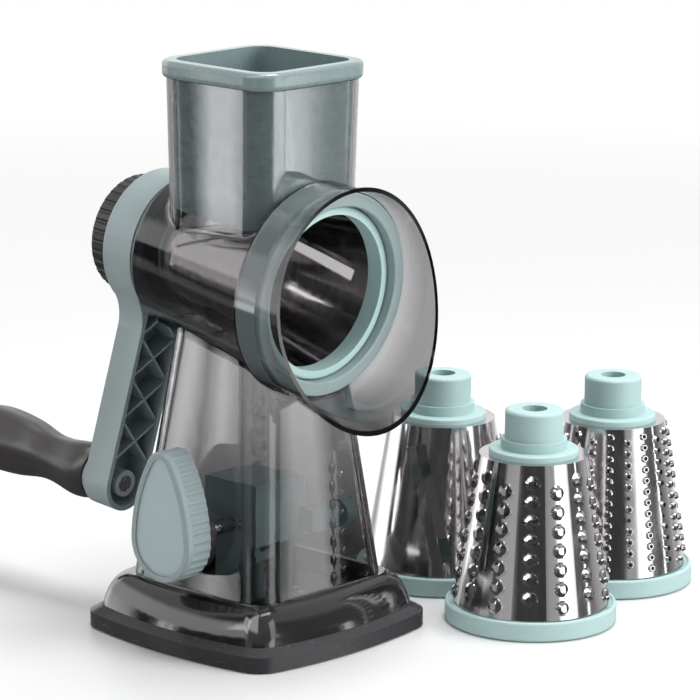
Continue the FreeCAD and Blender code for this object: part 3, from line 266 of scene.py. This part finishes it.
def clear_plastic(name, tint):
    """Clear smoked plastic: refracts, darkens along its thickness, and lets lamps reach what it holds."""
    g = Graph(name)
    flow = g.noise(FLOW_SCALE, 2.0)
    glass = g.add("ShaderNodeBsdfPrincipled")
    place = g.add("ShaderNodeSeparateXYZ")
    g.link(g.coords, place.inputs[0])
    hood = g.ramp(place.outputs["Y"], HOOD_FADE_START, HOOD_FADE_END)
    # Painted light: a paler tint over the chute makes the pusher inside look better lit
    painted_light_on_chute = g.ramp(place.outputs["Z"], CHUTE_FADE_START, CHUTE_FADE_END)
    tone = g.mix_colour(flow, shade(tint, 1 - FLOW_SPREAD), shade(tint, 1 + FLOW_SPREAD))
    tone = g.mix_colour(painted_light_on_chute, tone, shade(tint, CHUTE_PAINTED_LIGHT))
    g.link(g.mix_colour(hood, tone, shade(tint, HOOD_DARKER)), glass.inputs["Base Color"])
    hairline_noise = g.noise(HAIRLINE_SCALE, 6.0, g.stretched(HAIRLINE_STRETCH, HAIRLINE_TURN))
    hairlines = g.ramp(hairline_noise, HAIRLINE_START, HAIRLINE_FULL)
    rough = g.ramp(hairlines, 0.0, 1.0, CLEAR_ROUGHNESS, CLEAR_ROUGHNESS + HAIRLINE_ROUGHER)
    g.link(rough, glass.inputs["Roughness"])
    glass.inputs["IOR"].default_value = CLEAR_INDEX
    glass.inputs["Transmission Weight"].default_value = 1.0
    path = g.add("ShaderNodeLightPath")
    lighting = g.math("MAXIMUM", path.outputs["Is Shadow Ray"], path.outputs["Is Diffuse Ray"])
    clear = g.add("ShaderNodeBsdfTransparent").outputs["BSDF"]
    smoke = g.add("ShaderNodeVolumeAbsorption")
    smoke.inputs["Color"].default_value = SMOKE_IN_DEPTH
    smoke.inputs["Density"].default_value = SMOKE_DENSITY
    return g.output(g.mix_shader(lighting, glass.outputs["BSDF"], clear), smoke.outputs["Volume"])


# ---- Materials by the record's slots ----
PLASTICS = {
    "sage_pusher": dict(colour=SAGE_PUSHER, roughness=0.28, coat=0.5),
    "sage_collar": dict(colour=SAGE_COLLAR, roughness=0.36, coat=0.2),
    "sage_bracket": dict(colour=SAGE_BRACKET, roughness=0.42),
    "sage_knob": dict(colour=SAGE_KNOB, roughness=0.42),
    "sage_face": dict(colour=SAGE_FACE, roughness=0.46),
    "sage_crank": dict(colour=SAGE_CRANK, roughness=0.38, coat=0.10),
    "sage_drum": dict(colour=SAGE_DRUM, roughness=0.48),
    "black_bush": dict(colour=NEAR_BLACK, roughness=0.45),
    "dark_collar": dict(colour=shade(NEAR_BLACK, 1.6), roughness=0.40),
    "black_nut": dict(colour=shade(NEAR_BLACK, 1.8), roughness=0.42, rubbed=0.6),
    "dark_grip": dict(colour=WARM_GREY, roughness=0.40, coat=0.15, grain=0.12),
    "dark_skirt": dict(colour=shade(NEAR_BLACK, 2.6), roughness=0.24, gloss=0.45, mottle=0.03),
    "dark_dome": dict(colour=shade(NEAR_BLACK, 0.9), roughness=0.12, coat=0.9, grain=0.008, mottle=0.03),
    "dark_inner": dict(colour=shade(NEAR_BLACK, 2.2), roughness=0.5),
    "rubber_pad": dict(colour=shade(NEAR_BLACK, 1.5), roughness=0.62, grain=0.2),
}
STEELS = {
    "drum_steel": dict(colour=STEEL, roughness=0.10, streak_scale=40.0, streak_stretch=(6.0, 6.0, 0.6)),
    "steel_small": dict(colour=shade(STEEL, 0.9), roughness=0.25, streak_scale=120.0,
                        streak_stretch=(3.0, 3.0, 3.0)),
}


def make_materials():
    made = {name: plastic(name, **look) for name, look in PLASTICS.items()}
    made.update({name: sheet_steel(name, **look) for name, look in STEELS.items()})
    made["clear_smoke"] = clear_plastic("clear_smoke", SMOKE_TINT)
    return made


def dress_nodes():
    materials = make_materials()
    for part in frame["record"]["subparts"]:
        obj = nodes[part["node"]]
        obj.data.materials.clear()
        obj.data.materials.append(materials[part["material_slot"]])


# ---- Camera ----
CAMERA_PLACE = Vector((-1.2756, -1.2249, 0.5393))
CAMERA_YAW = math.radians(47.557)
CAMERA_PITCH = math.radians(12.90)
CAMERA_ROLL = math.radians(0.6)
LENS_MM = 198.7
SENSOR_MM = 36.0
CAMERA_REACH = 50.0


def make_camera():
    """Places the camera; returns the level directions to its right and towards it."""
    right = Vector((math.cos(CAMERA_YAW), -math.sin(CAMERA_YAW), 0))
    towards = Vector((-math.sin(CAMERA_YAW), -math.cos(CAMERA_YAW), 0))
    look = -towards * math.cos(CAMERA_PITCH) - Vector((0, 0, math.sin(CAMERA_PITCH)))
    up = right.cross(look)
    data = bpy.data.cameras.new("camera")
    data.lens = LENS_MM
    data.sensor_width = SENSOR_MM
    data.clip_end = CAMERA_REACH
    camera = bpy.data.objects.new("camera", data)
    turn = Matrix((right, up, -look)).transposed() @ Matrix.Rotation(CAMERA_ROLL, 3, "Z")
    camera.matrix_world = Matrix.Translation(CAMERA_PLACE) @ turn.to_4x4()
    bpy.context.scene.collection.objects.link(camera)
    bpy.context.scene.camera = camera
    return right, towards


# ---- Floor ----
FLOOR_RADIUS = 1.6
FLOOR_FADE_START = 0.55
FLOOR_FADE_END = 1.45
FLOOR_CORNERS = 96
FLOOR_DROP = 0.0003
FLOOR_DARK = (0.68, 0.68, 0.68)
FLOOR_PALE = (0.71, 0.71, 0.71)
FLOOR_SMOOTH = 0.30
FLOOR_ROUGH = 0.36
FLOOR_GLOSS = 0.35


def floor_material():
    """A pale table top that fades into the white surroundings."""
    g = Graph("pale_floor")
    shader = g.add("ShaderNodeBsdfPrincipled")
    g.link(g.mix_colour(g.noise(2.5, 3.0), FLOOR_DARK, FLOOR_PALE), shader.inputs["Base Color"])
    rough = g.ramp(g.noise(5.0, 2.0), NOISE_LOW, NOISE_HIGH, FLOOR_SMOOTH, FLOOR_ROUGH)
    g.link(rough, shader.inputs["Roughness"])
    shader.inputs["Specular IOR Level"].default_value = FLOOR_GLOSS
    distance = g.add("ShaderNodeVectorMath", operation="LENGTH")
    g.link(g.coords, distance.inputs[0])
    fade = g.ramp(distance.outputs["Value"], FLOOR_FADE_START, FLOOR_FADE_END)
    clear = g.add("ShaderNodeBsdfTransparent").outputs["BSDF"]
    unseen = g.math("MAXIMUM", fade, g.add("ShaderNodeLightPath").outputs["Is Glossy Ray"])
    return g.output(g.mix_shader(unseen, shader.outputs["BSDF"], clear))


def floor():
    step = 2 * math.pi / FLOOR_CORNERS
    rim = [(FLOOR_RADIUS * math.cos(step * i), FLOOR_RADIUS * math.sin(step * i), 0)
           for i in range(FLOOR_CORNERS)]
    mesh = bpy.data.meshes.new("floor")
    mesh.from_pydata(rim, [], [tuple(range(FLOOR_CORNERS))])
    mesh.materials.append(floor_material())
    obj = bpy.data.objects.new("floor", mesh)
    obj.location.z = -FLOOR_DROP
    bpy.context.scene.collection.objects.link(obj)


# ---- Surroundings that gloss and clear plastic show: soft boxes and dark flags ----
# A band is (degrees round from the viewer, to the right; level). A zone's bands take over between
# two heights of the direction looked in, from -1 straight down to 1 straight up.
GLOSS_PEAK = 5.0
LEVEL_BANDS = (
    (-180, 1.0), (-150, 0.7), (-124, 2.4), (-115, 2.4), (-100, 1.7),
    (-97, 0.04), (-88.8, 0.04), (-88.4, 4.9), (-86.1, 4.8), (-85.9, 0.6),
    (-85.6, 0.6), (-85.4, 4.6), (-84.4, 4.6), (-84.1, 1.2), (-82.8, 1.2),
    (-82.2, 0.04), (-62, 0.04), (-54, 0.5), (-30, 0.55), (-25, 0.06),
    (20, 0.06), (26, 0.5), (40, 0.5), (44, 3.0), (64, 3.0), (69, 0.2),
    (90.4, 0.1), (90.7, 3.6), (92.9, 3.6), (93.4, 0.05), (124, 0.6))
LOW_BANDS = (
    (-180, 1.0), (-150, 0.5), (-98, 0.5), (-95, 0.05), (-87.7, 0.05),
    (-87.4, 4.8), (-85.4, 4.8), (-85.1, 0.3), (-60, 0.2), (36, 0.2),
    (44, 4.6), (94.0, 4.6), (94.4, 0.6), (130, 0.5), (150, 1.0))
BELOW_BANDS = ((-180, 0.12), (0, 0.08), (120, 0.12))
UPPER_BANDS = (
    (-180, 1.2), (-120, 1.7), (-62, 1.7), (-45, 0.4),
    (40, 0.3), (80, 0.15), (130, 0.3), (152, 1.0))
OVERHEAD_BANDS = (
    (-180, 0.6), (-88, 0.6), (-82, 0.1), (-56, 0.1),
    (-50, 3.2), (-8, 3.2), (-2, 0.4), (120, 0.6))
ZONES = (
    (-0.12, -0.17, LOW_BANDS),
    (-0.235, -0.27, BELOW_BANDS),
    (0.14, 0.18, UPPER_BANDS),
    (0.46, 0.56, OVERHEAD_BANDS))
ROOM_COLOUR = (0.98, 0.99, 1.0)
ROOM_LEVEL = 0.42
BACKDROP = (1.0, 1.0, 1.0)


def band_ramp(g, turn, bands):
    node = g.add("ShaderNodeValToRGB")
    stops = node.color_ramp.elements
    while len(stops) > 1:
        stops.remove(stops[-1])
    for index, (angle, level) in enumerate(bands):
        place = (angle + 180) / 360
        stop = stops[0] if index == 0 else stops.new(place)
        stop.position = place
        stop.color = (*[level / GLOSS_PEAK] * 3, 1.0)
    g.link(turn, node.inputs["Fac"])
    return node.outputs["Color"]


def world(right, towards):
    """A plain room that lights the part, a white backdrop, and the banded surroundings for gloss."""
    studio = bpy.data.worlds.new("studio")
    bpy.context.scene.world = studio
    studio.use_nodes = True
    g = Graph.on(studio.node_tree)
    path = g.add("ShaderNodeLightPath")
    sides = []
    for axis in (right, towards):
        dot = g.add("ShaderNodeVectorMath", operation="DOT_PRODUCT")
        g.link(g.world_direction, dot.inputs[0])
        dot.inputs[1].default_value = axis
        sides.append(dot.outputs["Value"])
    turn = g.ramp(g.math("ARCTAN2", sides[0], sides[1]), -math.pi, math.pi)
    height = g.add("ShaderNodeSeparateXYZ")
    g.link(g.world_direction, height.inputs[0])
    seen = band_ramp(g, turn, LEVEL_BANDS)
    for start, end, bands in ZONES:
        share = g.ramp(height.outputs["Z"], start, end)
        seen = g.mix_colour(share, seen, band_ramp(g, turn, bands))
    gloss = g.background(seen, GLOSS_PEAK)
    backdrop = g.background(BACKDROP, 1.0)
    room = g.background(ROOM_COLOUR, ROOM_LEVEL)
    mirrored = g.math("MAXIMUM", path.outputs["Is Glossy Ray"], path.outputs["Is Transmission Ray"])
    lit = g.mix_shader(mirrored, room, gloss)
    out = g.add("ShaderNodeOutputWorld")
    g.link(g.mix_shader(path.outputs["Is Camera Ray"], lit, backdrop), out.inputs["Surface"])


# ---- Lamps: metres to the viewer's right, towards the viewer and up; size in metres ----
LAMP_AIM = Vector((0, 0, 0.13))
LAMPS = {
    "key": dict(right=-1.6, towards=1.0, up=1.5, size=(0.9, 1.6), watts=13),
    "fill": dict(right=1.7, towards=1.0, up=1.1, size=(0.8, 1.6), watts=7),
    "side": dict(right=1.75, towards=0.35, up=0.80, size=(1.0, 0.8), watts=24, mirrored=False),
    "top": dict(right=0.3, towards=-0.2, up=2.0, size=(0.9, 0.9), watts=34),
}


def lamp(name, place, size, watts, mirrored):
    data = bpy.data.lights.new(name, "AREA")
    data.shape = "RECTANGLE"
    data.size, data.size_y = size
    data.energy = watts
    obj = bpy.data.objects.new(name, data)
    direction = (LAMP_AIM - place).normalized()
    obj.matrix_world = Matrix.Translation(place) @ direction.to_track_quat("-Z", "Y").to_matrix().to_4x4()
    obj.visible_glossy = mirrored
    bpy.context.scene.collection.objects.link(obj)


def lamps(to_right, to_viewer):
    for name, look in LAMPS.items():
        place = to_right * look["right"] + to_viewer * look["towards"] + Vector((0, 0, look["up"]))
        lamp(name, place, look["size"], look["watts"], look.get("mirrored", True))


# ---- Scene ----
dress_nodes()
camera_right, camera_towards = make_camera()
floor()
world(camera_right, camera_towards)
lamps(camera_right, camera_towards)
bpy.context.scene.view_settings.view_transform = "Standard"
